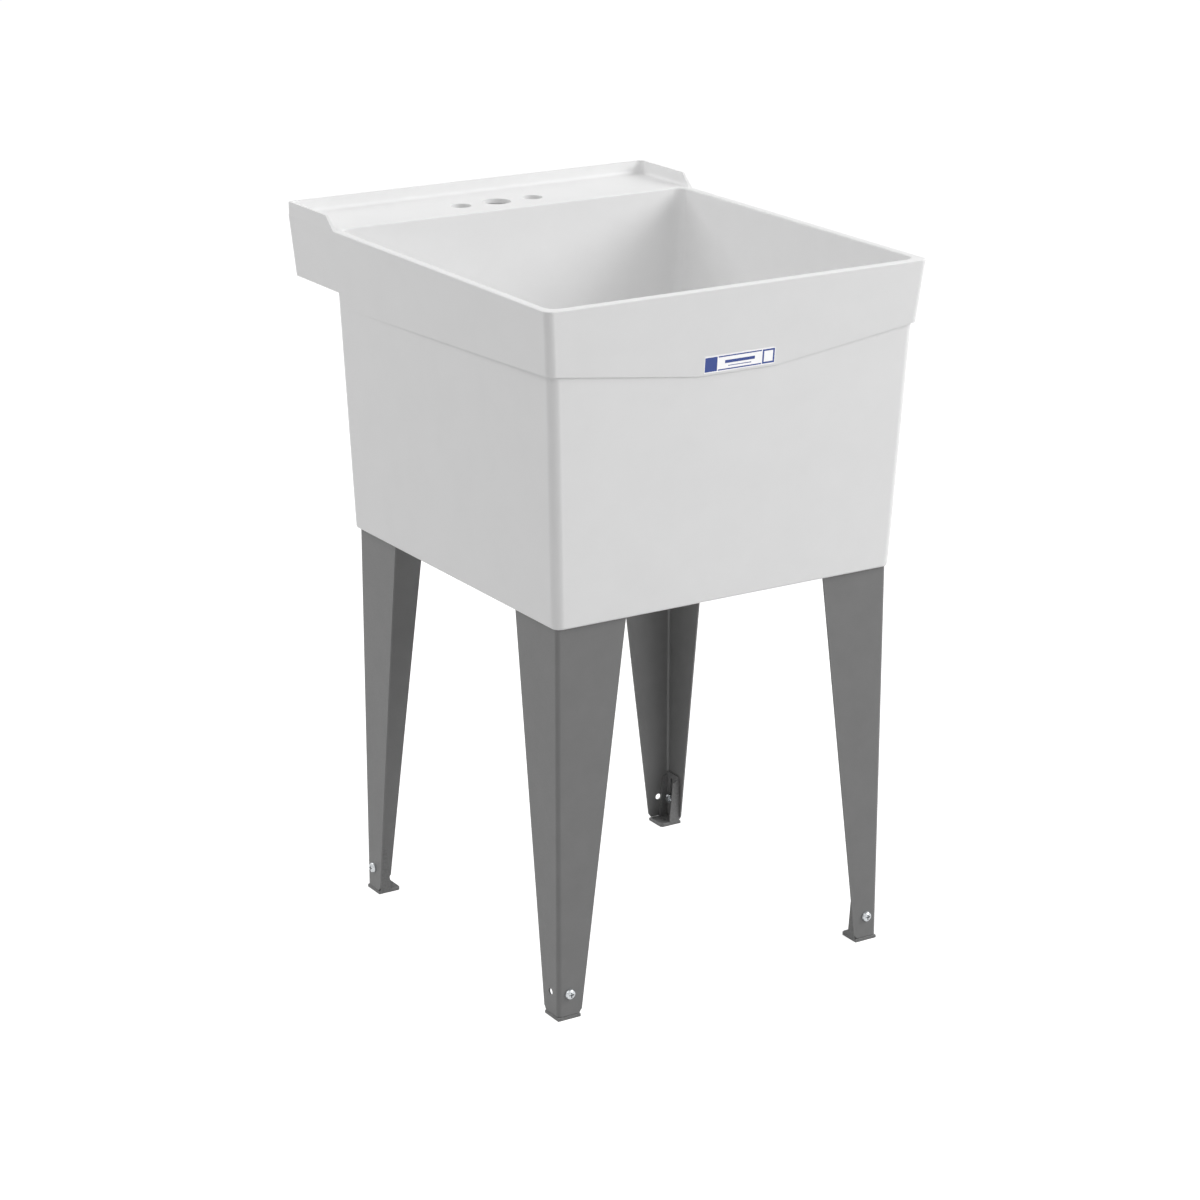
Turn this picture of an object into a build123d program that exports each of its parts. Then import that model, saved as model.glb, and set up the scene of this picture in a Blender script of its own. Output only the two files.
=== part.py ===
from build123d import *
import os
from dataclasses import dataclass

# Utility laundry sink on four folded steel legs, in millimetres, +Z up.
# The origin is on the floor under the middle of the overall box. The front of the sink faces -Y.

# ---------------------------------------------------------------- overall sizes
width = 508.0
depth = 609.6
stand_height = 477.0
tub_height = 369.0
rim_z = stand_height + tub_height

# ---------------------------------------------------------------- moulded tub
rim_width = 11.3
rim_outer_round = 1.4
rim_inner_round = 1.8
wall = 5.1
rear_wall = 6.8
skirt_wall = 4.6
lower_edge_round = 2.8

basin_side_draft = 0.0457
basin_front_draft = 0.0475
basin_rear_draft = 0.018
basin_front_corner = 14.0
basin_rear_corner = 13.0
basin_floor_round = 10.0
floor_drop = 322.0
dish_margin = 34.0
dish_depth = 8.0
floor_thickness = 5.0

wall_corner = 11.5
wall_flare = 0.0055

apron_draft = 0.095
apron_corner = 9.5
apron_corner_drop = 74.5
apron_tip_drop = 99.0
apron_tip_half = 52.0
apron_rear_drop = 94.0
skirt_draft = 0.045
skirt_corner = 3.0
skirt_drop = 75.5

deck_depth = 110.8
deck_thickness = 5.0
deck_rib_thickness = 3.0
deck_rib_height = 30.0
deck_rib_offset = 120.0

splash_height = 16.0
splash_top_wall = 3.0
splash_base_wall = 4.4
splash_cove = 5.0
splash_outer_corner = 4.2
splash_inner_corner = 8.0
splash_return_top = 99.7
splash_return_foot = 118.1

tap_hole_spacing = 101.6
tap_side_hole = 25.4
tap_middle_hole = 34.9
tap_row_setback = 66.8

# ---------------------------------------------------------------- moulded drain
drain_setback = 354.8
cup_diameter = 76.0
cup_depth = 14.0
cup_wall = 4.0
seat_flare = 5.0
seat_depth = 9.0
pipe_diameter = 38.1
pipe_clearance = 0.5
outlet_bore = pipe_diameter + pipe_clearance
outlet_wall = 4.85
outlet_diameter = outlet_bore + 2 * outlet_wall
outlet_shoulder = 1.5
outlet_shoulder_drop = 20.0
throat_diameter = outlet_bore - 2 * outlet_shoulder
seat_diameter = throat_diameter + 2 * seat_flare
outlet_length = 56.0
cross_bar_width = 3.6
cross_bar_depth = 5.0
cross_bar_drop = 13.0
cross_bar_root = 1.0
drain_rib_thickness = 4.0
drain_rib_reach = 34.0
drain_rib_height = 26.0

# ---------------------------------------------------------------- fasteners
bolt_diameter = 6.3
bolt_head_diameter = 12.7
bolt_head_height = 4.2
bolt_head_edge = 1.2
bolt_head_shoulder = 3.0
bolt_head_shoulder_inset = 0.8
bolt_head_crown_inset = 2.6
bolt_tip = 2.0
recess_length = 6.6
recess_width = 1.5
recess_depth = 2.2
nut_across_flats = 11.1
nut_height = 5.4
nut_bore_clearance = 0.1
nut_chamfer = 0.7

# ---------------------------------------------------------------- legs and sockets
sheet = 1.9
leg_bend = 5.0
leg_fit = 0.15
leg_bottom_z = 5.0
leg_bottom_width = 31.2
leg_taper = 0.1266
leg_engagement = 34.0
leg_corner_cut_width = 3.0
leg_corner_cut_height = 5.0
leg_hole_clearance = 1.7
leg_hole = bolt_diameter + leg_hole_clearance
leg_hole_from_corner = 15.5
spare_hole_from_corner = 17.2
leg_hole_z = 31.7
socket_rib = 3.2
socket_end_gap = 2.0
socket_recess = 4.0

# ---------------------------------------------------------------- feet
foot_base = 30.2
foot_overhang = 0.1
foot_base_thickness = 4.4
foot_base_bevel = 1.0
foot_inner_corner = 4.0
foot_wall = 2.3
foot_gap = 0.3
foot_web_top = 66.0
foot_web_corner = 4.0
foot_flange_root_top = 62.0
foot_flange_tip_top = 58.5
foot_flange_top_width = 9.3
foot_flange_base_width = 15.0
foot_slot_clearance = 1.1
foot_slot_width = bolt_diameter + foot_slot_clearance
foot_travel = 24.0
anchor_hole = 5.5
anchor_hole_inset = 16.5

# ---------------------------------------------------------------- drain fittings
slip_nut_wall = 5.65
slip_nut_height = 21.0
slip_nut_lip = 3.5
slip_nut_lugs = 8
slip_nut_lug_size = 7.0
slip_nut_lug_reach = 2.0
slip_nut_chamfer = 1.0
thread_clearance = 0.2
slip_washer_height = 6.0
slip_washer_tip_width = 2.2
slip_washer_rim_share = 0.3
stopper_flange_reach = 4.0
stopper_flange_height = 3.2
stopper_flange_bevel = 1.0
stopper_gap = 0.3
stopper_end_gap = 1.2
stopper_tab_width = 17.0
stopper_tab_height = 15.0
stopper_tab_thickness = 6.0
stopper_tab_round = 7.5
stopper_tab_hole = 6.5

CORNERS = {
    "front_left": (-1, -1),
    "front_right": (1, -1),
    "rear_left": (-1, 1),
    "rear_right": (1, 1),
}

# Overlength of cutting shapes, so that they pass clean through what they cut.
overcut = 20.0


@dataclass
class Outline:
    """Horizontal outline of a moulded shape at one level.

    A trapezium, wider towards the rear by flare for each millimetre of length, with rounded corners.
    """

    front_half: float
    front_y: float
    rear_y: float
    front_radius: float
    rear_radius: float
    flare: float = 0.0

    def points(self, z):
        """The four sharp corners at height z, from the front left round to the rear left."""
        rear_half = self.front_half + self.flare * (self.rear_y - self.front_y)
        return [
            Vector(-self.front_half, self.front_y, z),
            Vector(self.front_half, self.front_y, z),
            Vector(rear_half, self.rear_y, z),
            Vector(-rear_half, self.rear_y, z),
        ]


# ---------------------------------------------------------------- drawing helpers
def blend(start, end, share):
    """Value between start and end."""
    return start + (end - start) * share


def side_prism(points, low_x, high_x):
    """Prism along X of a polygon given as (y, z) points."""
    face = Plane.YZ * make_face(Polyline(*points, close=True))
    return Pos(low_x, 0, 0) * extrude(face, amount=high_x - low_x, dir=(1, 0, 0))


def front_prism(points, low_y, high_y):
    """Prism along Y of a polygon given as (x, z) points."""
    face = Plane.XZ * make_face(Polyline(*points, close=True))
    return Pos(0, low_y, 0) * extrude(face, amount=high_y - low_y, dir=(0, 1, 0))


def flat_face(points):
    """Plane face of a polygon given by its corners."""
    return Face(Wire.make_polygon(points))


def frustum(low, high):
    """Flat-sided solid between two level polygons with parallel sides."""
    sides = [flat_face([low[i - 1], low[i], high[i], high[i - 1]]) for i in range(len(low))]
    return Solid(Shell([flat_face(low), flat_face(high)] + sides))


def upright_edges(solid):
    """Edges that run the whole height of a solid, from the front to the rear."""
    height = solid.bounding_box().size.Z
    return solid.edges().filter_by(lambda edge: edge.bounding_box().size.Z > height / 2).sort_by(Axis.Y)


def drafted(outline, low_z, high_z):
    """Flat-sided moulded solid between two levels of an outline, with its four upright edges rounded."""
    shape = outline(low_z)
    solid = frustum(shape.points(low_z), outline(high_z).points(high_z))
    solid = fillet(upright_edges(solid)[:2], shape.front_radius)
    return fillet(upright_edges(solid)[-2:], shape.rear_radius)


def turned(points):
    """Solid of revolution about the Z axis of a polygon given as (radius, z) points."""
    return revolve(Plane.XZ * make_face(Polyline(*points, close=True)), Axis.Z)


# ---------------------------------------------------------------- outlines by height
def basin_outline(z):
    """Inside of the basin."""
    drop = rim_z - z
    half = width / 2 - rim_width - drop * basin_side_draft
    front_y = -depth / 2 + rim_width + drop * basin_front_draft
    rear_y = depth / 2 - deck_depth - drop * basin_rear_draft
    return Outline(half, front_y, rear_y, basin_front_corner, basin_rear_corner)


def wall_outline(z):
    """Outside of the tub wall, one wall thickness outside the basin and flared towards the rear."""
    inside = basin_outline(z)
    front_y = inside.front_y - wall
    rear_y = inside.rear_y + rear_wall
    half = inside.front_half + wall - wall_flare * (rear_y - front_y) / 3
    return Outline(half, front_y, rear_y, wall_corner, wall_corner, wall_flare)


def apron_outline(z):
    """Outside of the apron round the rim and of the skirt behind the deck."""
    drop = rim_z - z
    half = width / 2 - drop * apron_draft
    front_y = -depth / 2 + drop * apron_draft
    rear_y = depth / 2 - drop * skirt_draft
    return Outline(half, front_y, rear_y, apron_corner, skirt_corner)


def splash_outline(z):
    """Outside of the backsplash, which stands straight up from the rim."""
    return Outline(width / 2, -depth / 2, depth / 2, apron_corner, splash_outer_corner)


def splash_pocket_outline(z):
    """Inside of the backsplash and its end returns."""
    inset = blend(splash_base_wall, splash_top_wall, (z - rim_z) / splash_height)
    front_y = depth / 2 - splash_return_foot - overcut
    return Outline(width / 2 - inset, front_y, depth / 2 - inset, splash_inner_corner, splash_inner_corner)


def under_deck_outline(z):
    """Hollow under the faucet deck, between the basin's rear wall and the skirt."""
    outside = apron_outline(z)
    front_y = wall_outline(z).rear_y
    return Outline(outside.front_half - wall, front_y, outside.rear_y - wall, skirt_corner, skirt_corner)


def under_floor_outline(z):
    """Straight hollow inside the lower skirt, which the leg plates lie against."""
    bottom = basin_outline(stand_height)
    corner = leg_bend - leg_fit
    half = bottom.front_half + wall - skirt_wall
    front_y = bottom.front_y - wall + skirt_wall
    rear_y = bottom.rear_y + rear_wall - skirt_wall
    return Outline(half, front_y, rear_y, corner, corner)


def drain_y():
    """Position of the drain, in the middle of the basin."""
    return depth / 2 - drain_setback


# ---------------------------------------------------------------- leg corners
def leg_corner(corner):
    """Outer corner of a leg in plan."""
    side, end = CORNERS[corner]
    skirt = under_floor_outline(stand_height)
    x = side * (skirt.front_half - leg_fit)
    y = skirt.front_y + leg_fit if end < 0 else skirt.rear_y - leg_fit
    return x, y


def at_corner(shape, corner):
    """Shape drawn with its outer corner at the origin and its plates towards +X and +Y, put at a leg."""
    side, end = CORNERS[corner]
    x, y = leg_corner(corner)
    if side > 0:
        shape = mirror(shape, Plane.YZ)
    if end > 0:
        shape = mirror(shape, Plane.XZ)
    return Pos(x, y, 0) * shape


def bolted_plate_first(shape, corner):
    """Shape drawn for a bolted plate along X, turned for the rear legs, whose side plates are bolted."""
    if CORNERS[corner][1] > 0:
        return mirror(shape, Plane(origin=(0, 0, 0), z_dir=(1, -1, 0)))
    return shape


def angle_prism(near, far, length, corner, low_z, high_z):
    """L-shaped prism along both plates of a leg, from near to far behind the leg's outer faces."""
    points = [(near, near), (length, near), (length, far), (far, far), (far, length), (near, length)]
    face = make_face(Polyline(*points, close=True))
    nearest = face.vertices().sort_by_distance((near, near, 0))[0]
    face = fillet(nearest, corner)
    if corner > far - near:
        face = fillet(face.vertices().sort_by_distance((far, far, 0))[0], corner - (far - near))
    return Pos(0, 0, low_z) * extrude(face, amount=high_z - low_z, dir=(0, 0, 1))


def leg_top_z():
    """Height to which the legs stand up inside the lower skirt."""
    return stand_height + leg_engagement


def leg_width(z):
    """Width of a leg plate at height z, from the outer corner."""
    return leg_bottom_width + (z - leg_bottom_z) * leg_taper


# ---------------------------------------------------------------- tub
def outer_wall():
    """Solid of the drafted tub wall with its rounded lower edge."""
    solid = drafted(wall_outline, stand_height, rim_z)
    return fillet(solid.faces().sort_by(Axis.Z)[0].edges(), lower_edge_round)


def apron_cuts():
    """Shapes that leave the apron's lower edge: a blunt V across the front and a slope along the sides."""
    corner_z = rim_z - apron_corner_drop
    tip_z = rim_z - apron_tip_drop
    below = tip_z - 2 * overcut
    reach = width / 2 + overcut
    outline = apron_outline(corner_z)
    flat_x = outline.front_half - apron_corner
    flat_y = outline.front_y + apron_corner
    rear_y = wall_outline(corner_z).rear_y
    rear_z = rim_z - apron_rear_drop
    front = front_prism(
        [(-reach, below), (reach, below), (reach, corner_z), (flat_x, corner_z), (apron_tip_half, tip_z),
         (-apron_tip_half, tip_z), (-flat_x, corner_z), (-reach, corner_z)],
        -depth / 2 - overcut, flat_y)
    side_points = [(-depth / 2 - overcut, below), (rear_y, below), (rear_y, rear_z), (flat_y, corner_z),
                   (-depth / 2 - overcut, corner_z)]
    right = side_prism(side_points, flat_x, reach)
    left = side_prism(side_points, -reach, -flat_x)
    skirt_z = rim_z - skirt_drop
    rear_points = [(rear_y - wall_corner, below), (depth, below), (depth, skirt_z),
                   (rear_y - wall_corner, skirt_z)]
    rear = side_prism(rear_points, -reach, reach)
    return front, right, left, rear


def rim_and_splash():
    """Apron with its rounded rim, and the backsplash with sloped front ends standing on it."""
    low_z = rim_z - apron_tip_drop - overcut
    plain = drafted(apron_outline, low_z, rim_z)
    rounded = fillet(plain.faces().sort_by(Axis.Z)[-1].edges(), rim_outer_round)
    top_z = rim_z + splash_height
    round_z = rim_z - rim_outer_round - rim_inner_round
    rear_y = depth / 2
    slope = (splash_return_foot - splash_return_top) / splash_height
    region = side_prism(
        [(rear_y + overcut, round_z), (rear_y + overcut, top_z), (rear_y - splash_return_top, top_z),
         (rear_y - splash_return_foot - slope * (rim_z - round_z), round_z)],
        -width, width)
    raised = plain + drafted(splash_outline, rim_z, top_z)
    body = rounded + (raised & region)
    pocket = drafted(splash_pocket_outline, rim_z, top_z)
    pocket_foot = pocket.faces().sort_by(Axis.Z)[0].edges()
    pocket = fillet(pocket_foot, splash_cove)
    pocket &= region
    return body - pocket


def floor_dish(top_z):
    """Four flat slopes that fall from the margin of the floor, at top_z, to a square round the drain cup."""
    floor = basin_outline(top_z)
    middle = drain_y()
    reach = cup_diameter / 2
    edge = Outline(floor.front_half - dish_margin, floor.front_y + dish_margin, floor.rear_y - dish_margin, 0, 0)
    pit = Outline(reach, middle - reach, middle + reach, 0, 0)
    return frustum(pit.points(top_z - dish_depth), edge.points(top_z))


def basin_hollow():
    """Inside of the basin with its rounded foot and its fall to the drain."""
    floor_z = rim_z - floor_drop
    hollow = drafted(basin_outline, floor_z, rim_z)
    hollow = fillet(hollow.faces().sort_by(Axis.Z)[0].edges(), basin_floor_round)
    return hollow + floor_dish(floor_z)


def under_deck_hollow():
    """Hollow behind the basin, open below, with two ribs left under the deck."""
    top_z = rim_z - deck_thickness
    hollow = drafted(under_deck_outline, rim_z - skirt_drop - overcut, top_z)
    rib = Box(deck_rib_thickness, depth, deck_rib_height, align=(Align.CENTER, Align.CENTER, Align.MAX))
    for side in (-1, 1):
        hollow -= Pos(side * deck_rib_offset, depth / 2, top_z) * rib
    return hollow


def under_floor_hollow():
    """Hollow inside the lower skirt, up to the underside of the floor and its dish."""
    under_z = rim_z - floor_drop - floor_thickness
    return drafted(under_floor_outline, stand_height - overcut, under_z) - floor_dish(under_z)


def tap_holes():
    """Three holes through the deck for a centre-set faucet."""
    cut = Cylinder(tap_middle_hole / 2, 4 * deck_thickness)
    for side in (-1, 1):
        cut += Pos(side * tap_hole_spacing / 2, 0, 0) * Cylinder(tap_side_hole / 2, 4 * deck_thickness)
    return Pos(0, depth / 2 - tap_row_setback, rim_z) * cut


def drain_floor_z():
    """Height of the basin floor at the drain."""
    return rim_z - floor_drop - dish_depth


def cup_floor_z():
    """Height of the floor of the drain cup."""
    return drain_floor_z() - cup_depth


def outlet_end_z():
    """Height of the open end of the outlet."""
    return cup_floor_z() - outlet_length


def drain_body():
    """Cup and outlet neck moulded under the floor, with four stiffening ribs."""
    hang = (Align.CENTER, Align.CENTER, Align.MAX)
    cup = Cylinder(cup_diameter / 2 + cup_wall, cup_depth + cup_wall, align=hang)
    neck = Cylinder(outlet_diameter / 2, outlet_length, align=hang)
    body = Pos(0, 0, drain_floor_z()) * cup + Pos(0, 0, cup_floor_z()) * neck
    top_z = drain_floor_z() - floor_thickness / 2
    inner = (outlet_bore + outlet_diameter) / 4
    outer = cup_diameter / 2 + drain_rib_reach
    rib = front_prism([(inner, top_z), (outer, top_z), (inner, top_z - cup_depth - drain_rib_height)],
                      -drain_rib_thickness / 2, drain_rib_thickness / 2)
    for turn in range(4):
        body += Rot(0, 0, 45 + 90 * turn) * rib
    return Pos(0, drain_y(), 0) * body


def drain_passage():
    """Way through the drain: cup, tapered stopper seat, throat, and outlet bore up to its shoulder."""
    top_z = drain_floor_z() + overcut
    seat_z = cup_floor_z()
    end_z = outlet_end_z() - overcut
    return Pos(0, drain_y(), 0) * turned([
        (0, top_z),
        (cup_diameter / 2, top_z),
        (cup_diameter / 2, seat_z),
        (seat_diameter / 2, seat_z),
        (throat_diameter / 2, seat_z - seat_depth),
        (throat_diameter / 2, seat_z - outlet_shoulder_drop),
        (outlet_bore / 2, seat_z - outlet_shoulder_drop),
        (outlet_bore / 2, end_z),
        (0, end_z),
    ])


def cross_bars():
    """Two crossed bars moulded in the throat under the stopper seat."""
    bar = Box(throat_diameter + 2 * cross_bar_root, cross_bar_width, cross_bar_depth)
    return Pos(0, drain_y(), cup_floor_z() - cross_bar_drop) * (bar + Rot(0, 0, 90) * bar)


def leg_socket(corner):
    """Block that holds the top of one leg against the skirt, and the slot that the leg plates fill."""
    slot_depth = sheet + leg_fit
    length = leg_width(leg_top_z()) + socket_end_gap
    roof_z = rim_z - floor_drop - floor_thickness / 2
    block = angle_prism(-skirt_wall / 2, slot_depth + socket_rib, length + socket_rib, leg_bend,
                        stand_height + socket_recess, roof_z)
    slot = angle_prism(-leg_fit, slot_depth, length, leg_bend - leg_fit, stand_height - overcut, leg_top_z())
    return at_corner(block, corner), at_corner(slot, corner)


def tub():
    """The one-piece moulded tub."""
    rim = rim_and_splash()
    for cut in apron_cuts():
        rim -= cut
    body = outer_wall() + rim
    body -= basin_hollow()
    body = fillet(basin_mouth_edges(body), rim_inner_round)
    body -= under_deck_hollow()
    body -= under_floor_hollow()
    body += drain_body()
    for corner in CORNERS:
        block, slot = leg_socket(corner)
        body = body + block - slot
    body -= drain_passage()
    body += cross_bars()
    return body - tap_holes()


def basin_mouth_edges(body):
    """Edges where the basin opens in the rim."""
    mouth = basin_outline(rim_z)
    return body.edges().filter_by(
        lambda edge: abs(edge.bounding_box().max.Z - rim_z) < 0.01
        and abs(edge.bounding_box().min.Z - rim_z) < 0.01
        and abs(edge.bounding_box().max.X) < mouth.front_half + 0.01
        and abs(edge.bounding_box().min.X) < mouth.front_half + 0.01
        and edge.bounding_box().min.Y > mouth.front_y - 0.01
        and edge.bounding_box().max.Y < mouth.rear_y + 0.01)


# ---------------------------------------------------------------- legs
def leg_plate_side(length_over):
    """Side view of a leg plate: tapered, with the free lower corner cut off."""
    top_z = leg_top_z()
    cut_z = leg_bottom_z + leg_corner_cut_height
    return [
        (-length_over, leg_bottom_z),
        (leg_bottom_width - leg_corner_cut_width, leg_bottom_z),
        (leg_width(cut_z), cut_z),
        (leg_width(top_z), top_z),
        (-length_over, top_z),
    ]


def leg(corner):
    """Folded sheet angle with two plates that taper towards the floor, one bolted and one with a spare hole."""
    far = leg_width(leg_top_z()) + overcut
    bar = angle_prism(0, sheet, far, leg_bend, leg_bottom_z, leg_top_z())
    side = leg_plate_side(overcut)
    bar &= front_prism(side, -overcut, far + overcut)
    bar &= side_prism(side, -overcut, far + overcut)
    hole = Cylinder(leg_hole / 2, 4 * sheet)
    bar -= Pos(leg_hole_from_corner, 0, leg_hole_z) * Rot(90, 0, 0) * hole
    bar -= Pos(0, spare_hole_from_corner, leg_hole_z) * Rot(0, 90, 0) * hole
    return at_corner(bolted_plate_first(bar, corner), corner)


# ---------------------------------------------------------------- feet
def foot_base_plate():
    """Square base with a bevelled top edge and a rounded corner away from the leg's corner."""
    plate = Pos(-foot_overhang, -foot_overhang, 0) * Box(
        foot_base, foot_base, foot_base_thickness, align=(Align.MIN, Align.MIN, Align.MIN))
    uprights = plate.edges().filter_by(Axis.Z)
    far = foot_base - foot_overhang
    plate = fillet(uprights.sort_by_distance((far, far, 0))[0], foot_inner_corner)
    return chamfer(plate.faces().sort_by(Axis.Z)[-1].edges(), foot_base_bevel)


def foot_channel():
    """Upright channel: a slotted web behind the bolted plate and a gusseted flange at each end."""
    near = sheet + foot_gap
    far = foot_base - foot_overhang
    back = near + foot_wall
    reach = near + foot_flange_base_width
    plan = make_face(Polyline(
        (near, near), (far, near), (far, reach), (far - foot_wall, reach), (far - foot_wall, back),
        (back, back), (back, reach), (near, reach), close=True))
    plan = fillet(plan.vertices().sort_by_distance((near, near, 0))[0], leg_bend - sheet + foot_gap)
    channel = extrude(plan, amount=foot_web_top, dir=(0, 0, 1))
    channel &= side_prism([
        (near, 0),
        (reach, 0),
        (near + foot_flange_top_width, foot_flange_tip_top),
        (back, foot_flange_root_top),
        (back, foot_web_top),
        (near, foot_web_top),
    ], near, far)
    front = front_prism([(near, 0), (far, 0), (far, foot_web_top), (near, foot_web_top)], near, reach)
    channel &= fillet(front.edges().filter_by(Axis.Y).group_by(Axis.Z)[-1], foot_web_corner)
    slot = SlotOverall(foot_travel + foot_slot_width, foot_slot_width)
    slot_middle_z = leg_hole_z + foot_travel / 2
    slot_cut = extrude(Plane.XZ * Rot(0, 0, 90) * slot, amount=2 * near, both=True)
    return channel - Pos(leg_hole_from_corner, near, slot_middle_z) * slot_cut


def foot(corner):
    """Levelling foot that slides down out of the leg."""
    shape = foot_base_plate() + foot_channel()
    shape -= Pos(anchor_hole_inset, anchor_hole_inset, 0) * Cylinder(anchor_hole / 2, 4 * foot_base_thickness)
    return at_corner(bolted_plate_first(shape, corner), corner)


# ---------------------------------------------------------------- fasteners
def nut_start():
    """Distance from the leg's outer face to the near face of the nut."""
    return sheet + 2 * foot_gap + foot_wall


def foot_bolt(corner):
    """Pan-head bolt with a cross recess, through the leg and the foot's slot."""
    length = nut_start() + nut_height + bolt_tip
    shank = Cylinder(bolt_diameter / 2, length, align=(Align.CENTER, Align.CENTER, Align.MIN))
    radius = bolt_head_diameter / 2
    head = turned([
        (0, 0),
        (radius, 0),
        (radius, -bolt_head_edge),
        (radius - bolt_head_shoulder_inset, -bolt_head_shoulder),
        (radius - bolt_head_crown_inset, -bolt_head_height),
        (0, -bolt_head_height),
    ])
    slot = Box(recess_length, recess_width, 2 * recess_depth)
    recess = slot + Rot(0, 0, 90) * slot
    bolt = shank + head - Pos(0, 0, -bolt_head_height) * recess
    bolt = Pos(leg_hole_from_corner, 0, leg_hole_z) * Rot(-90, 0, 0) * bolt
    return at_corner(bolted_plate_first(bolt, corner), corner)


def foot_nut(corner):
    """Hexagon nut behind the foot's web, flat against it and chamfered on its outer face."""
    circle = nut_across_flats / 3 ** 0.5
    body = extrude(RegularPolygon(circle, 6), amount=nut_height)
    crown = turned([(0, 0), (circle, 0), (circle, nut_height - nut_chamfer),
                    (circle - nut_chamfer, nut_height), (0, nut_height)])
    body = (body & crown) - Cylinder(bolt_diameter / 2 + nut_bore_clearance, 4 * nut_height)
    body = Pos(leg_hole_from_corner, nut_start(), leg_hole_z) * Rot(-90, 0, 0) * body
    return at_corner(bolted_plate_first(body, corner), corner)


# ---------------------------------------------------------------- drain fittings
def drain_slip_nut():
    """Lugged nut on the outlet, with an inner lip that holds the slip washer."""
    inner = outlet_diameter / 2 + thread_clearance
    low_z = outlet_end_z() - slip_washer_height - slip_nut_lip
    outer = inner + slip_nut_wall
    reach = outer + slip_nut_lug_reach
    body = Cylinder(outer, slip_nut_height, align=(Align.CENTER, Align.CENTER, Align.MIN))
    lug = Box(reach - inner, slip_nut_lug_size, slip_nut_height, align=(Align.MAX, Align.CENTER, Align.MIN))
    for turn in range(slip_nut_lugs):
        body += Rot(0, 0, turn * 360 / slip_nut_lugs) * Pos(reach, 0, 0) * lug
    body = chamfer(body.faces().sort_by(Axis.Z)[0].outer_wire().edges(), slip_nut_chamfer)
    body -= turned([
        (0, -overcut),
        (pipe_diameter / 2 + 2 * pipe_clearance, -overcut),
        (pipe_diameter / 2 + 2 * pipe_clearance, slip_nut_lip),
        (inner, slip_nut_lip),
        (inner, slip_nut_height + overcut),
        (0, slip_nut_height + overcut),
    ])
    return Pos(0, drain_y(), low_z) * body


def drain_slip_washer():
    """Tapered sealing washer between the outlet's end and the slip nut's lip."""
    inner = pipe_diameter / 2 + pipe_clearance
    outer = outlet_diameter / 2 - thread_clearance
    high_z = outlet_end_z()
    low_z = high_z - slip_washer_height
    return Pos(0, drain_y(), 0) * turned([
        (inner, low_z),
        (outer, low_z),
        (outer, blend(low_z, high_z, slip_washer_rim_share)),
        (inner + slip_washer_tip_width, high_z),
        (inner, high_z),
    ])


def drain_stopper():
    """Rubber stopper with a tapered plug, a flange and a pull tab."""
    seat_slope = (seat_diameter - throat_diameter) / 2 / seat_depth
    top_radius = seat_diameter / 2 - stopper_gap
    plug_depth = seat_depth - stopper_end_gap
    low_radius = top_radius - plug_depth * seat_slope
    flange_radius = seat_diameter / 2 + stopper_flange_reach
    body = turned([
        (0, -plug_depth),
        (low_radius, -plug_depth),
        (top_radius, 0),
        (flange_radius, 0),
        (flange_radius, stopper_flange_height),
        (0, stopper_flange_height),
    ])
    body = chamfer(body.faces().sort_by(Axis.Z)[-1].edges(), stopper_flange_bevel)
    tab = Box(stopper_tab_width, stopper_tab_thickness, stopper_tab_height,
              align=(Align.CENTER, Align.CENTER, Align.MIN))
    tab = fillet(tab.edges().filter_by(Axis.Y).group_by(Axis.Z)[-1], stopper_tab_round)
    hole_z = stopper_tab_height - stopper_tab_round
    tab -= Pos(0, 0, hole_z) * Rot(90, 0, 0) * Cylinder(stopper_tab_hole / 2, 2 * stopper_tab_thickness)
    body += Pos(0, 0, stopper_flange_bevel) * tab
    return Pos(0, drain_y(), cup_floor_z()) * body


# ---------------------------------------------------------------- files
def main():
    """Build every piece and write its STEP file."""
    os.makedirs("parts", exist_ok=True)
    pieces = {"tub": tub()}
    for corner in CORNERS:
        pieces[f"leg_{corner}"] = leg(corner)
        pieces[f"foot_{corner}"] = foot(corner)
        pieces[f"foot_bolt_{corner}"] = foot_bolt(corner)
        pieces[f"foot_nut_{corner}"] = foot_nut(corner)
    pieces["drain_slip_nut"] = drain_slip_nut()
    pieces["drain_slip_washer"] = drain_slip_washer()
    pieces["drain_stopper"] = drain_stopper()
    for name, shape in pieces.items():
        export_step(shape, f"parts/{name}.step")


if __name__ == "__main__":
    main()
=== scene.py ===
"""Looks for a floor-standing utility laundry sink.

It holds the finishes, the plain label on the apron, the threads that show, the stage, the lamps and
the camera.
"""

import logging
import math
from dataclasses import dataclass, field, replace
from enum import Enum
from typing import ClassVar

import bpy
import numpy as np
from mathutils import Euler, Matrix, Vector


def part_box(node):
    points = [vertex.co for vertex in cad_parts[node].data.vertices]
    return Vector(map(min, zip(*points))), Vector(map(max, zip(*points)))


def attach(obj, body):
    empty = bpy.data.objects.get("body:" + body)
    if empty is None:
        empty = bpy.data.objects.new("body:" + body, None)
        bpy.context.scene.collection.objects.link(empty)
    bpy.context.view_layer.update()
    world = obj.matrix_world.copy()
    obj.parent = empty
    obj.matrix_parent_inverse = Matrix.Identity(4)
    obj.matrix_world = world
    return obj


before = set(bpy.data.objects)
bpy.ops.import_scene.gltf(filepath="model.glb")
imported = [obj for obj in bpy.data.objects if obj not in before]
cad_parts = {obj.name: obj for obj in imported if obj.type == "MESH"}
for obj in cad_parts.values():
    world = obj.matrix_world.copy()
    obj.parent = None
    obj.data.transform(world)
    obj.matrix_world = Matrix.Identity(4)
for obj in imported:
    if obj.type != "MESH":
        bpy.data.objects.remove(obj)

Tree = bpy.types.NodeTree
Socket = bpy.types.NodeSocket
Material = bpy.types.Material

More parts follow.
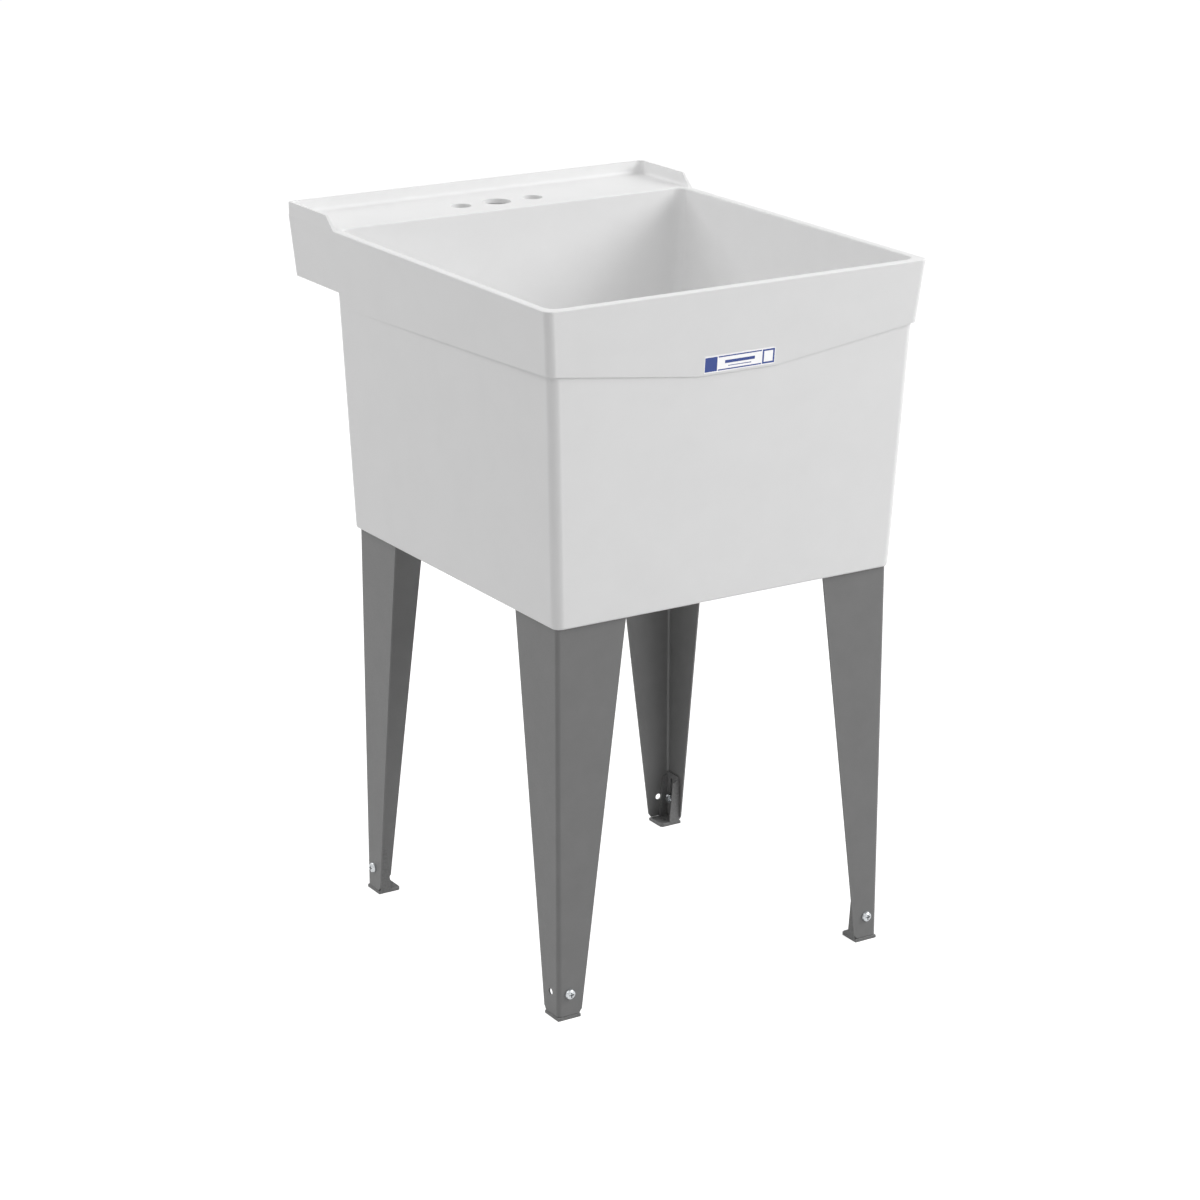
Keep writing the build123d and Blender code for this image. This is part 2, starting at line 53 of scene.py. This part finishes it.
LOG = logging.getLogger("sink")
MM = 0.001
LAMP_AIM = Vector((0.0, 0.0, 0.62))
UPWARDS = Vector((0.0, 0.0, 1.0))
INWARDS_FROM_FRONT = Vector((0.0, 1.0, 0.0))
WHITE = (1.0, 1.0, 1.0, 1.0)


def linear(hex_colour: str) -> tuple[float, float, float, float]:
    """Turns an sRGB hex colour into the linear RGBA that Blender's sockets take.

    Each channel c is c / 12.92 up to 0.04045 and ((c + 0.055) / 1.055) ** 2.4 above it.

    Args:
        hex_colour: six hex digits after a hash.

    Returns:
        The linear red, green, blue and an alpha of 1.
    """
    channels = np.array([int(hex_colour[i : i + 2], 16) for i in (1, 3, 5)]) / 255.0
    bright = ((channels + 0.055) / 1.055) ** 2.4
    red, green, blue = np.where(channels <= 0.04045, channels / 12.92, bright).tolist()
    return (red, green, blue, 1.0)


def node(
    tree: Tree, kind: str, settings: dict[str | int, object] | None = None, **links: Socket
) -> bpy.types.Node:
    """Adds one shader node with its settings and its links.

    Args:
        tree: the material's or world's node tree.
        kind: the node's Blender type name without "ShaderNode".
        settings: node property names, or input socket names or numbers, to values.
        **links: input socket names, or "i" and a number, to the output sockets that feed them.

    Returns:
        The new node.
    """
    made = tree.nodes.new("ShaderNode" + kind)
    for name, value in (settings or {}).items():
        if isinstance(name, str) and hasattr(made, name):
            setattr(made, name, value)
        else:
            made.inputs[name].default_value = value
    for name, source in links.items():
        numbered = name[1:].isdigit() and name[0] == "i"
        tree.links.new(source, made.inputs[int(name[1:]) if numbered else name.replace("_", " ")])
    return made


def blank_material(name: str) -> tuple[Material, Tree]:
    """Makes a node material with nothing in it.

    Args:
        name: the finish's name.

    Returns:
        The material and its empty node tree.
    """
    material = bpy.data.materials.new(name)
    material.use_nodes = True
    material.node_tree.nodes.clear()
    return material, material.node_tree


def per_metre(size_mm: float) -> float:
    """The Scale of a noise with features size_mm across, in Object coordinates in metres."""
    return 1.0 / (size_mm * MM)


@dataclass(frozen=True)
class Mottle:
    """One layer of noise: its features' width in mm, its detail and its share of the range."""

    size_mm: float
    detail: float
    share: float


@dataclass(frozen=True)
class Finish:
    """A surface as it was made: two close tones in a slow mottle, a relief and a wandering gloss.

    The colour goes from tone_low to tone_high along the mottle's noise. The relief adds a long
    wave, which bends the lamps' reflections, and a fine grain, which dulls them. A finish with a
    shade_reach_mm has painted shade: it goes to painted_shade_tone in recesses of about that width.
    """

    NOISE_ROUGHNESS: ClassVar[float] = 0.55
    GRAIN_SPAN: ClassVar[tuple[float, float]] = (0.3, 0.7)
    OPEN_SPAN: ClassVar[tuple[float, float]] = (0.35, 0.8)
    OPEN_RAYS: ClassVar[int] = 16

    name: str
    tone_low: str
    tone_high: str
    roughness: tuple[float, float]
    mottle: Mottle
    wave: Mottle
    grain: Mottle
    bump_mm: float
    metallic: float = 0.0
    ior: float = 1.5
    sheen: float = 0.0
    shade_reach_mm: float = 0.0
    painted_shade_tone: str = "#000000"

    def noise(self, tree: Tree, place: Socket, layer: Mottle) -> Socket:
        """Adds one layer's noise.

        Args:
            tree: the material's node tree.
            place: the coordinates.
            layer: its size and detail.

        Returns:
            The noise, mostly between the two ends of GRAIN_SPAN.
        """
        settings = {
            "Scale": per_metre(layer.size_mm),
            "Detail": layer.detail,
            "Roughness": self.NOISE_ROUGHNESS,
        }
        return node(tree, "TexNoise", settings, Vector=place).outputs["Fac"]

    def tone(self, tree: Tree, place: Socket) -> Socket:
        """Adds the colour: tone_low to tone_high over the mottle's share of its noise's range.

        Args:
            tree: the material's node tree.
            place: the coordinates.

        Returns:
            The colour.
        """
        ramp = node(tree, "ValToRGB", i0=self.noise(tree, place, self.mottle))
        low, high = ramp.color_ramp.elements
        low.position = 0.5 - self.mottle.share / 2
        high.position = 0.5 + self.mottle.share / 2
        low.color, high.color = linear(self.tone_low), linear(self.tone_high)
        return ramp.outputs["Color"]

    def painted_recess_shade(self, tree: Tree, colour: Socket) -> Socket:
        """Adds the dark in the recesses: painted_shade_tone where little of the way out is open.

        The open share is that of the rays which leave a point and meet nothing of its own piece
        within shade_reach_mm. The colour is painted_shade_tone up to the lower end of OPEN_SPAN and
        the plain colour from its upper end. This dark is painted shade, not a colour of the
        surface.

        Args:
            tree: the material's node tree.
            colour: the plain colour.

        Returns:
            The colour with the painted shade.
        """
        # Painted shade: the colour goes dark where the AO node finds the piece's own surface close
        # by.
        settings = {
            "Distance": self.shade_reach_mm * MM,
            "samples": self.OPEN_RAYS,
            "only_local": True,
        }
        open_share = node(tree, "AmbientOcclusion", settings).outputs["AO"]
        least, most = self.OPEN_SPAN
        kept = node(tree, "MapRange", {"From Min": least, "From Max": most}, Value=open_share)
        return node(
            tree,
            "Mix",
            {"data_type": "RGBA", 6: linear(self.painted_shade_tone)},
            i0=kept.outputs["Result"],
            i7=colour,
        ).outputs[2]

    def relief(self, tree: Tree, place: Socket, grain: Socket) -> Socket:
        """Adds the relief: its height is the wave times its share plus the grain times its share.

        Args:
            tree: the material's node tree.
            place: the coordinates.
            grain: the grain's noise.

        Returns:
            The bent normal.
        """
        wave = self.noise(tree, place, self.wave)
        long_wave = node(tree, "Math", {"operation": "MULTIPLY", 1: self.wave.share}, i0=wave)
        height = node(
            tree,
            "Math",
            {"operation": "MULTIPLY_ADD", 1: self.grain.share},
            i0=grain,
            i2=long_wave.outputs[0],
        )
        settings = {"Strength": 1.0, "Distance": self.bump_mm * MM}
        return node(tree, "Bump", settings, Height=height.outputs[0]).outputs["Normal"]

    def build(self) -> Material:
        """Makes the material.

        Returns:
            The finished node material.
        """
        material, tree = blank_material(self.name)
        place = node(tree, "TexCoord").outputs["Object"]
        colour = self.tone(tree, place)
        # Only a finish with a shade reach gets the painted recess shade.
        if self.shade_reach_mm:
            colour = self.painted_recess_shade(tree, colour)
        grain = self.noise(tree, place, self.grain)
        least, most = self.GRAIN_SPAN
        smooth, rough = self.roughness
        gloss = node(
            tree,
            "MapRange",
            {"From Min": least, "From Max": most, "To Min": smooth, "To Max": rough},
            Value=grain,
        )
        shader = node(
            tree,
            "BsdfPrincipled",
            {"Metallic": self.metallic, "IOR": self.ior, "Sheen Weight": self.sheen},
            Base_Color=colour,
            Roughness=gloss.outputs["Result"],
            Normal=self.relief(tree, place, grain),
        )
        node(tree, "OutputMaterial", Surface=shader.outputs["BSDF"])
        return material


# Moulded fibre-reinforced thermoset with a smooth mould skin: near white and satin, with a long
# faint wave in its sheen. The skin's fine peel is drawn 2.2 mm wide, because a finer one doesn't
# show.
TUB_COMPOSITE = Finish(
    name="moulded_thermoset_composite",
    tone_low="#F5F5F5",
    tone_high="#F8F8F8",
    roughness=(0.34, 0.42),
    mottle=Mottle(60.0, 3.0, 0.5),
    wave=Mottle(14.0, 1.0, 0.9),
    grain=Mottle(2.2, 2.0, 0.1),
    bump_mm=0.03,
    ior=1.52,
)

# Enamel baked on folded sheet steel: mid grey, an even satin with the 1.6 mm pebble of sprayed
# paint.
BAKED_ENAMEL = Finish(
    name="baked_grey_enamel",
    tone_low="#777777",
    tone_high="#7C7C7C",
    roughness=(0.38, 0.5),
    mottle=Mottle(35.0, 3.0, 0.5),
    wave=Mottle(6.0, 1.0, 0.5),
    grain=Mottle(1.6, 2.0, 0.5),
    bump_mm=0.05,
    ior=1.5,
)

# Glass-filled nylon straight from the mould: grey, matt, with the fleck of its fibres. The fibres
# are about 0.3 mm long and are drawn as 0.9 mm flecks, because finer ones don't show.
FILLED_NYLON = Finish(
    name="glass_filled_nylon",
    tone_low="#6C6C6C",
    tone_high="#797979",
    roughness=(0.5, 0.62),
    mottle=Mottle(3.0, 4.0, 0.3),
    wave=Mottle(5.0, 1.0, 0.3),
    grain=Mottle(0.9, 2.0, 0.7),
    bump_mm=0.08,
    ior=1.53,
)

# Bright zinc plate on cold-formed steel: pale metal, a little uneven where the plating lay. Its
# crystals are far too fine to show and are drawn as a 0.5 mm grain.
BRIGHT_ZINC = Finish(
    name="bright_zinc_plate",
    tone_low="#B4B7BA",
    tone_high="#CDD0D2",
    roughness=(0.2, 0.34),
    mottle=Mottle(1.6, 3.0, 0.5),
    wave=Mottle(2.5, 1.0, 0.4),
    grain=Mottle(0.5, 2.0, 0.6),
    bump_mm=0.012,
    metallic=1.0,
)

# The same plate on a driven screw's head, with painted shade in its cross recess, so the cross
# reads from a distance.
ZINC_WITH_PAINTED_RECESS_SHADE = replace(
    BRIGHT_ZINC, name="zinc_plate_with_painted_recess_shade", shade_reach_mm=1.6, painted_shade_tone="#2C2D2F"
)

# Polypropylene drain fitting: white, waxy, moulded with a smooth skin.
DRAIN_PLASTIC = Finish(
    name="moulded_polypropylene",
    tone_low="#E6E6E1",
    tone_high="#EDEDE8",
    roughness=(0.3, 0.4),
    mottle=Mottle(12.0, 2.0, 0.5),
    wave=Mottle(5.0, 1.0, 0.6),
    grain=Mottle(0.8, 2.0, 0.4),
    bump_mm=0.05,
    ior=1.49,
)

# Soft polythene washer: milky, and slightly greasy in its sheen.
SOFT_POLYTHENE = Finish(
    name="natural_polythene",
    tone_low="#D3D3CC",
    tone_high="#DEDED8",
    roughness=(0.4, 0.5),
    mottle=Mottle(8.0, 2.0, 0.5),
    wave=Mottle(4.0, 1.0, 0.5),
    grain=Mottle(0.8, 2.0, 0.5),
    bump_mm=0.05,
    ior=1.51,
)

# Moulded black rubber: matt, with a faint grey bloom on its skin.
BLACK_RUBBER = Finish(
    name="moulded_black_rubber",
    tone_low="#1B1B1B",
    tone_high="#262625",
    roughness=(0.55, 0.7),
    mottle=Mottle(9.0, 4.0, 0.4),
    wave=Mottle(3.0, 1.0, 0.4),
    grain=Mottle(0.7, 2.0, 0.6),
    bump_mm=0.06,
    ior=1.52,
    sheen=0.08,
)


def dress(name: str, material: Material) -> None:
    """Gives a CAD node its finish in every material slot.

    Args:
        name: the node's name.
        material: the finish.
    """
    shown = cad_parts[name]
    if not shown.material_slots:
        shown.data.materials.append(material)
    for slot in shown.material_slots:
        slot.material = material
    LOG.info("dressed %s in %s", name, material.name)


def surface_mesh(name: str, points: np.ndarray, faces: list[list[int]]) -> bpy.types.Object:
    """Makes an object from whole arrays of points and faces.

    Args:
        name: the piece's name.
        points: n by 3, in metres.
        faces: each face's point numbers, turning anticlockwise seen from outside.

    Returns:
        The new object, at the origin.
    """
    mesh = bpy.data.meshes.new(name)
    mesh.from_pydata(points.tolist(), [], faces)
    mesh.update()
    piece = bpy.data.objects.new(name, mesh)
    bpy.context.scene.collection.objects.link(piece)
    return piece


class Corner(Enum):
    """The four corners of the stand."""

    FRONT_LEFT = "front_left"
    FRONT_RIGHT = "front_right"
    REAR_LEFT = "rear_left"
    REAR_RIGHT = "rear_right"

    @property
    def is_front(self) -> bool:
        """Whether the corner is at the front."""
        return self in (Corner.FRONT_LEFT, Corner.FRONT_RIGHT)


@dataclass(frozen=True)
class InkBar:
    """A plain rectangle of ink: its middle, from the label's own middle, and its size, in mm."""

    across: float
    up: float
    width: float
    height: float


@dataclass
class ApronLabel:
    """The plain label on the front apron: rules, a solid panel, an open panel and two bars.

    It is a thin printed sheet on the apron's leaning face. Lengths are in mm.
    """

    MAP: ClassVar[str] = "label"

    width: float = 95.1
    height: float = 19.3
    corner: float = 1.2
    corner_points: int = 6
    thickness: float = 0.25
    centre_x: float = 0.35
    centre_z: float = 759.1
    apron_y: float = -304.8
    apron_top_z: float = 846.0
    apron_slope: float = 0.095
    film: str = "#FBFBFC"
    ink: str = "#0F3D98"
    film_metallic: float = 0.4
    film_roughness: float = 0.28
    coat: float = 0.3
    coat_roughness: float = 0.12
    bars: tuple[InkBar, ...] = (
        InkBar(0.0, 7.7, 58.0, 1.5),
        InkBar(0.0, -7.7, 58.0, 1.5),
        InkBar(-38.4, 0.0, 16.4, 16.9),
        InkBar(38.4, 7.4, 16.4, 2.1),
        InkBar(38.4, -7.4, 16.4, 2.1),
        InkBar(31.3, 0.0, 2.2, 16.9),
        InkBar(45.5, 0.0, 2.2, 16.9),
        InkBar(0.0, 1.0, 40.0, 3.6),
        InkBar(0.0, -3.9, 31.0, 0.9),
    )

    def surface(self) -> tuple[np.ndarray, list[list[int]], np.ndarray]:
        """Works out the label's skin: a rounded rectangle, once on the apron and once proud of it.

        The outline goes round four quarter circles. Each of its points is laid on the apron's
        leaning face and then lifted square to it, by nothing for the back and by the thickness for
        the front.

        Returns:
            The points, the faces and each point's place on the label from 0 to 1 both ways.
        """
        quarter = math.pi / 2
        sweep = np.linspace(0.0, quarter, self.corner_points)
        signs = np.array([(1, 1), (-1, 1), (-1, -1), (1, -1)])
        angle = (sweep[None, :] + np.arange(len(signs))[:, None] * quarter).ravel()
        reach = np.array([self.width / 2 - self.corner, self.height / 2 - self.corner])
        centre = np.repeat(signs * reach, self.corner_points, axis=0)
        outline = centre + self.corner * np.stack([np.cos(angle), np.sin(angle)], axis=1)
        flat = np.tile(outline, (2, 1))
        ring = len(outline)
        lean = 1.0 / math.hypot(1.0, self.apron_slope)
        lift = np.repeat([0.0, self.thickness], ring) * lean
        up = flat[:, 1] * lean
        x = self.centre_x + flat[:, 0]
        y = self.apron_y + (self.apron_top_z - self.centre_z - up) * self.apron_slope - lift
        z = self.centre_z + up - lift * self.apron_slope
        first = np.arange(ring)
        after = (first + 1) % ring
        sides = np.stack([first, after, ring + after, ring + first], axis=1).tolist()
        caps = [first[::-1].tolist(), (ring + first).tolist()]
        place = flat / np.array([self.width, self.height]) + 0.5
        return np.stack([x, y, z], axis=1) * MM, sides + caps, place

    def inked(self, tree: Tree) -> Socket:
        """Adds nodes that give 1 in any of the bars and 0 between them.

        A point is in a bar where its distance from the bar's middle is within the bar's half width
        and half height.

        Args:
            tree: the material's node tree.

        Returns:
            The share of ink.
        """
        place = node(tree, "UVMap", {"uv_map": self.MAP}).outputs["UV"]
        settings = {
            "Location": (-self.width / 2, -self.height / 2, 0.0),
            "Scale": (self.width, self.height, 1.0),
        }
        centred = node(tree, "Mapping", settings, Vector=place).outputs["Vector"]
        split = node(tree, "SeparateXYZ", Vector=centred)
        ink: Socket | None = None
        for bar in self.bars:
            within_width = {"operation": "COMPARE", 1: bar.across, 2: bar.width / 2}
            within_height = {"operation": "COMPARE", 1: bar.up, 2: bar.height / 2}
            across = node(tree, "Math", within_width, i0=split.outputs["X"]).outputs[0]
            up = node(tree, "Math", within_height, i0=split.outputs["Y"]).outputs[0]
            both = node(tree, "Math", {"operation": "MULTIPLY"}, i0=across, i1=up).outputs[0]
            if ink is not None:
                both = node(tree, "Math", {"operation": "MAXIMUM"}, i0=ink, i1=both).outputs[0]
            ink = both
        return ink

    def film_material(self) -> Material:
        """Makes the printed film: pale pearly vinyl under a clear coat, with flat matt ink.

        The pearl is a part-metallic film, which the ink hides.

        Returns:
            The material.
        """
        material, tree = blank_material("printed_vinyl_film")
        ink = self.inked(tree)
        tones = {"data_type": "RGBA", 6: linear(self.film), 7: linear(self.ink)}
        colour = node(tree, "Mix", tones, i0=ink)
        pearl = node(tree, "MapRange", {"To Min": self.film_metallic, "To Max": 0.0}, Value=ink)
        shader = node(
            tree,
            "BsdfPrincipled",
            {
                "Roughness": self.film_roughness,
                "Coat Weight": self.coat,
                "Coat Roughness": self.coat_roughness,
            },
            Base_Color=colour.outputs[2],
            Metallic=pearl.outputs["Result"],
        )
        node(tree, "OutputMaterial", Surface=shader.outputs["BSDF"])
        return material

    def build(self) -> bpy.types.Object:
        """Builds the label on the apron.

        Returns:
            The piece.
        """
        points, faces, place = self.surface()
        piece = surface_mesh("apron_label", points, faces)
        layer = piece.data.uv_layers.new(name=self.MAP)
        corners = np.zeros(len(piece.data.loops), np.int64)
        piece.data.loops.foreach_get("vertex_index", corners)
        layer.data.foreach_set("uv", place[corners].ravel())
        piece.data.materials.append(self.film_material())
        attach(piece, "sink")
        LOG.info("built %s, %d faces", piece.name, len(faces))
        return piece


@dataclass(frozen=True)
class Thread:
    """The thread that shows on a round piece: a flat-crested ridge that winds up it, in mm."""

    FLANK_RISE: ClassVar[float] = 3.2
    ROOT_SHARE: ClassVar[float] = 0.3
    CAPS: ClassVar[int] = 2

    root: float
    crest: float
    pitch: float
    length: float
    sides: int = 72
    rows_per_turn: int = 10

    def surface(self) -> tuple[np.ndarray, list[list[int]]]:
        """Works out the threaded skin about the Z axis, from z = 0 up.

        At height h and turn a the skin's radius goes from the root to the crest and back once for
        each pitch. The share of the way out is FLANK_RISE times the distance of
        h / pitch - a / 2 pi from the nearest whole number, less ROOT_SHARE, kept between 0 and 1.
        The ridge fades out over half a pitch at both ends.

        Returns:
            The points and the faces, the ends closed with flat caps.
        """
        rows = int(self.length / self.pitch * self.rows_per_turn) + 1
        height, turn = np.meshgrid(
            np.linspace(0.0, self.length, rows), np.arange(self.sides) / self.sides, indexing="ij"
        )
        phase = height / self.pitch - turn
        off_root = np.abs(phase - np.round(phase))
        share = np.clip(self.FLANK_RISE * off_root - self.ROOT_SHARE, 0.0, 1.0)
        to_end = np.minimum(height, self.length - height)
        fade = np.clip(to_end / (self.pitch / 2), 0.0, 1.0)
        radius = self.root + (self.crest - self.root) * share * fade
        angle = turn * 2 * math.pi
        skin = np.stack([radius * np.cos(angle), radius * np.sin(angle), height], axis=-1)
        ring = np.arange(self.sides)
        row = np.arange(rows - 1)[:, None] * self.sides
        low, after = row + ring[None, :], row + (ring[None, :] + 1) % self.sides
        quads = np.stack([low, after, after + self.sides, low + self.sides], axis=-1)
        caps = [ring[::-1].tolist(), (ring + (rows - 1) * self.sides).tolist()]
        return skin.reshape(-1, 3), quads.reshape(-1, 4).tolist() + caps

    def build(
        self, name: str, foot: Vector, along: Vector, material: Material
    ) -> bpy.types.Object:
        """Builds the thread on its piece.

        Args:
            name: the new piece's name.
            foot: the point on the axis where the thread starts, in metres.
            along: the direction that it runs in.
            material: its finish.

        Returns:
            The piece.
        """
        points, faces = self.surface()
        turn = np.array(along.to_track_quat("Z", "Y").to_matrix())
        piece = surface_mesh(name, points * MM @ turn.T + np.array(foot), faces)
        round_faces = np.arange(len(faces)) < len(faces) - self.CAPS
        piece.data.polygons.foreach_set("use_smooth", round_faces)
        piece.data.materials.append(material)
        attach(piece, "sink")
        LOG.info("built %s, %d faces", name, len(faces))
        return piece


@dataclass
class TubShell:
    """The moulded tub, one shell with its basin, deck, splash wall and apron.

    It carries the label on its apron and the thread on its drain outlet.
    """

    finish: Finish = TUB_COMPOSITE
    label: ApronLabel = field(default_factory=ApronLabel)
    outlet_thread: Thread = Thread(root=24.1, crest=24.9, pitch=2.2, length=15.0)

    def build(self) -> None:
        """Dresses the shell, builds its label and threads the outlet above the slip nut."""
        moulded = self.finish.build()
        dress("tub", moulded)
        self.label.build()
        low, high = (Vector(corner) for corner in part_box("drain_slip_nut"))
        middle = (low + high) / 2
        foot = Vector((middle.x, middle.y, high.z))
        self.outlet_thread.build("outlet_thread", foot, UPWARDS, moulded)


@dataclass
class Stand:
    """The four folded legs, with a bolt and a nut through each, and the four levelling feet."""

    leg: Finish = BAKED_ENAMEL
    foot: Finish = FILLED_NYLON
    nut: Finish = BRIGHT_ZINC
    bolt: Finish = ZINC_WITH_PAINTED_RECESS_SHADE
    bolt_thread: Thread = Thread(root=3.1, crest=3.35, pitch=1.27, length=1.9, sides=48)

    def thread(self, corner: Corner, material: Material) -> None:
        """Threads the end of a bolt, where it stands out of its nut towards the stand's inside.

        A front bolt points backwards and a rear bolt points sideways.

        Args:
            corner: the bolt's corner.
            material: its finish.
        """
        low, high = (Vector(point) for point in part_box(f"foot_nut_{corner.value}"))
        middle = (low + high) / 2
        sideways = Vector((-math.copysign(1.0, middle.x), 0.0, 0.0))
        along = INWARDS_FROM_FRONT if corner.is_front else sideways
        half = abs(along.dot(high - low)) / 2
        start = middle + along * half
        self.bolt_thread.build(f"bolt_thread_{corner.value}", start, along, material)

    def build(self) -> None:
        """Dresses the legs, feet, bolts and nuts, corner by corner."""
        finishes = (self.leg, self.foot, self.nut, self.bolt)
        enamel, nylon, zinc, driven = (finish.build() for finish in finishes)
        for corner in Corner:
            dress(f"leg_{corner.value}", enamel)
            dress(f"foot_{corner.value}", nylon)
            # The bolt heads carry painted shade in their cross recesses.
            dress(f"foot_bolt_{corner.value}", driven)
            dress(f"foot_nut_{corner.value}", zinc)
            self.thread(corner, zinc)


@dataclass
class Drain:
    """The drain fittings: the slip nut, its washer and the loose stopper."""

    nut: Finish = DRAIN_PLASTIC
    washer: Finish = SOFT_POLYTHENE
    stopper: Finish = BLACK_RUBBER

    def build(self) -> None:
        """Dresses the three fittings."""
        dress("drain_slip_nut", self.nut.build())
        dress("drain_slip_washer", self.washer.build())
        dress("drain_stopper", self.stopper.build())


@dataclass(frozen=True)
class Lamp:
    """A square soft light aimed at the sink: its place and its side in metres, and its power."""

    name: str
    place: tuple[float, float, float]
    watts: float
    side: float = 2.75

    def build(self) -> None:
        """Hangs the lamp, its face square to the line to its aim, out of the camera's sight."""
        light = bpy.data.lights.new(self.name, "AREA")
        light.shape, light.size, light.energy = "SQUARE", self.side, self.watts
        hung = bpy.data.objects.new(self.name, light)
        hung.location = self.place
        hung.rotation_euler = (LAMP_AIM - Vector(self.place)).to_track_quat("-Z", "Y").to_euler()
        hung.visible_camera = False
        bpy.context.scene.collection.objects.link(hung)


@dataclass
class Studio:
    """A pale floor, a plain surround, soft lamps and the camera at the photograph's angle.

    Lengths are in metres, but the camera's lens and sensor are in mm. Its tilt below the level and
    its turn from straight ahead are in degrees.
    """

    camera_place: tuple[float, float, float] = (-2.02174, -3.26081, 1.66147)
    camera_down: float = 18.26
    camera_turn: float = 31.82
    lens_mm: float = 99.61
    sensor_mm: float = 36.0
    sight: tuple[float, float] = (0.1, 60.0)
    floor_half: float = 12.0
    floor_tone: str = "#D8D8D8"
    floor_shown: str = "#C0C0C0"
    floor_glow: float = 0.85
    ambient: float = 0.28
    lamps: tuple[Lamp, ...] = (
        Lamp("key_softbox", (4.08, -1.90, 3.22), 123.0),
        Lamp("front_softbox", (2.58, -3.69, 3.22), 51.0),
        Lamp("high_softbox", (0.00, -3.68, 4.30), 16.0),
        Lamp("side_softbox", (-3.68, 0.00, 4.30), 36.0),
        Lamp("rear_softbox", (-1.99, 3.45, 3.96), 70.0),
    )

    def seen(self, tree: Tree) -> Socket:
        """Adds nodes that give 1 for a ray from the camera or from a mirroring or clear surface.

        Args:
            tree: the node tree.

        Returns:
            The output socket.
        """
        ray = node(tree, "LightPath").outputs
        mirrored = node(
            tree,
            "Math",
            {"operation": "MAXIMUM"},
            i0=ray["Is Glossy Ray"],
            i1=ray["Is Transmission Ray"],
        )
        return node(
            tree,
            "Math",
            {"operation": "MAXIMUM"},
            i0=ray["Is Camera Ray"],
            i1=mirrored.outputs[0],
        ).outputs[0]

    def floor(self) -> None:
        """Lays the floor. The camera and mirrors see it lifted to white, with the sink's shade."""
        corners = self.floor_half * np.array([(-1, -1, 0), (1, -1, 0), (1, 1, 0), (-1, 1, 0)])
        laid = surface_mesh("floor", corners, [[0, 1, 2, 3]])
        material, tree = blank_material("pale_studio_floor")
        bounced = node(tree, "BsdfDiffuse", {"Color": linear(self.floor_tone)})
        shown = node(tree, "BsdfDiffuse", {"Color": linear(self.floor_shown)})
        glow = node(tree, "Emission", {"Strength": self.floor_glow})
        lifted = node(tree, "AddShader", i0=shown.outputs[0], i1=glow.outputs[0])
        self.split_by_ray(tree, "OutputMaterial", bounced, lifted)
        laid.data.materials.append(material)

    def surround(self) -> None:
        """Makes the world: white to the eye and in mirrors, and a plain grey light on the sink."""
        world = bpy.data.worlds.new("surround")
        world.use_nodes = True
        tree = world.node_tree
        tree.nodes.clear()
        lighting = node(tree, "Background", {"Color": WHITE, "Strength": self.ambient})
        white = node(tree, "Background", {"Color": WHITE, "Strength": 1.0})
        self.split_by_ray(tree, "OutputWorld", lighting, white)
        bpy.context.scene.world = world

    def split_by_ray(
        self, tree: Tree, output: str, lighting: bpy.types.Node, shown: bpy.types.Node
    ) -> None:
        """Sends one shader to rays that light the sink and another to rays that look.

        Args:
            tree: the node tree.
            output: the output node's kind.
            lighting: the shader that lights the sink.
            shown: the shader that the camera and mirrors see.
        """
        picked = node(
            tree, "MixShader", Fac=self.seen(tree), i1=lighting.outputs[0], i2=shown.outputs[0]
        )
        node(tree, output, Surface=picked.outputs[0])

    def camera(self) -> None:
        """Stands the camera where the photograph was taken from."""
        lens = bpy.data.cameras.new("camera")
        lens.lens, lens.sensor_width = self.lens_mm, self.sensor_mm
        lens.clip_start, lens.clip_end = self.sight
        stood = bpy.data.objects.new("camera", lens)
        stood.location = self.camera_place
        tilt, turn = math.radians(90.0 - self.camera_down), math.radians(-self.camera_turn)
        stood.rotation_euler = Euler((tilt, 0.0, turn))
        bpy.context.scene.collection.objects.link(stood)
        bpy.context.scene.camera = stood

    def build(self) -> None:
        """Sets the stage, the lamps, the camera and the plain view transform."""
        self.floor()
        self.surround()
        self.camera()
        for lamp in self.lamps:
            lamp.build()
        bpy.context.scene.view_settings.view_transform = "Standard"
        LOG.info("set the studio with %d lamps", len(self.lamps))


def main() -> None:
    """Builds the sub-assemblies in order."""
    logging.basicConfig(level=logging.INFO, format="%(name)s: %(message)s")
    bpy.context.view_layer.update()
    for part in (Studio(), TubShell(), Stand(), Drain()):
        LOG.info("building %s", type(part).__name__)
        part.build()


if __name__ == "__main__":
    main()
